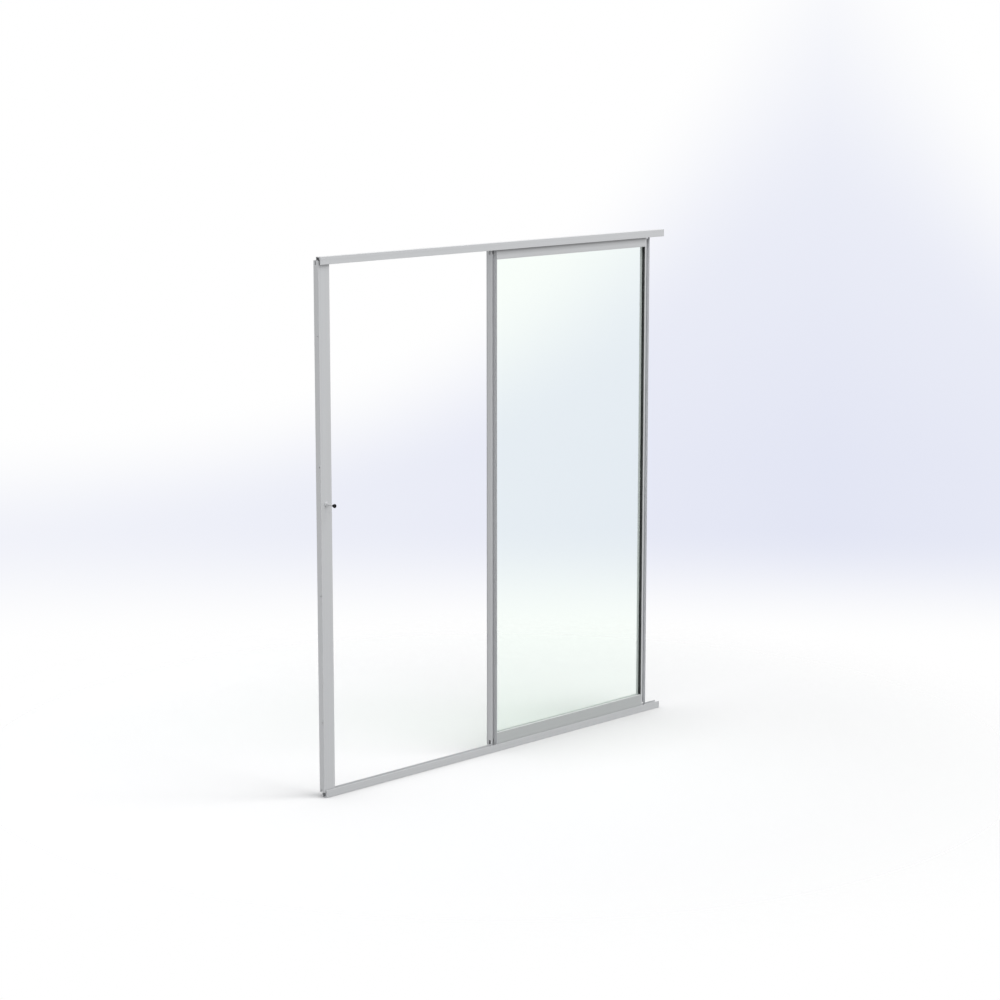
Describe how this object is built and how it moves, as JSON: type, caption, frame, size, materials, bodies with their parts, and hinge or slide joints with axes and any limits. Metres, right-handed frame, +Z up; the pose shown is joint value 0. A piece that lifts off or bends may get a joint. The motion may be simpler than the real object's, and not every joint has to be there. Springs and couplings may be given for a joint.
{
  "type": "glass sliding patio door",
  "caption": "Glazed aluminium panel on rollers, sliding between an open sill track and head track to a closing jamb that carries a rubber-tipped stop pin.",
  "frame": {"origin": "middle of the sill track's underside", "axes": "+Z up, -Y towards the front fascia of the tracks, +X along the tracks from the closing jamb to the open ends"},
  "size_m": [1.9625, 0.0817, 2.1],
  "materials": {
    "satin_aluminium": "satin anodised",
    "clear_glass": "clear float glass, pale green cast",
    "black_rubber": "matte black",
    "grey_pile": "brushed pile",
    "grey_nylon": "moulded nylon",
    "zinc_steel": "zinc plated"
  },
  "bodies": {
    "frame": {"sill_track": "satin_aluminium", "head_track": "satin_aluminium", "closing_jamb": "satin_aluminium", "jamb_pile_seal": "grey_pile", "jamb_foot_bracket": "zinc_steel", "jamb_head_bracket": "zinc_steel", "stop_pin_rose": "satin_aluminium", "stop_pin_rod": "satin_aluminium", "stop_pin_buffer": "black_rubber", "sill_end_stop": "grey_nylon", "head_end_stop": "grey_nylon"},
    "sliding_panel": {"leading_stile": "satin_aluminium", "trailing_stile": "satin_aluminium", "top_rail": "satin_aluminium", "bottom_rail": "satin_aluminium", "glass_pane": "clear_glass", "leading_gasket": "black_rubber", "trailing_gasket": "black_rubber", "top_gasket": "black_rubber", "bottom_gasket": "black_rubber", "leading_roller_housing": "grey_nylon", "leading_roller_wheel": "grey_nylon", "leading_roller_axle": "zinc_steel", "trailing_roller_housing": "grey_nylon", "trailing_roller_wheel": "grey_nylon", "trailing_roller_axle": "zinc_steel", "leading_top_guide": "grey_nylon", "trailing_top_guide": "grey_nylon"}
  },
  "joints": [
    {"name": "panel_slide", "type": "slide", "parent": "frame", "child": "sliding_panel", "axis": [-1, 0, 0], "range_m": [-0.065, 0.864]}
  ]
}
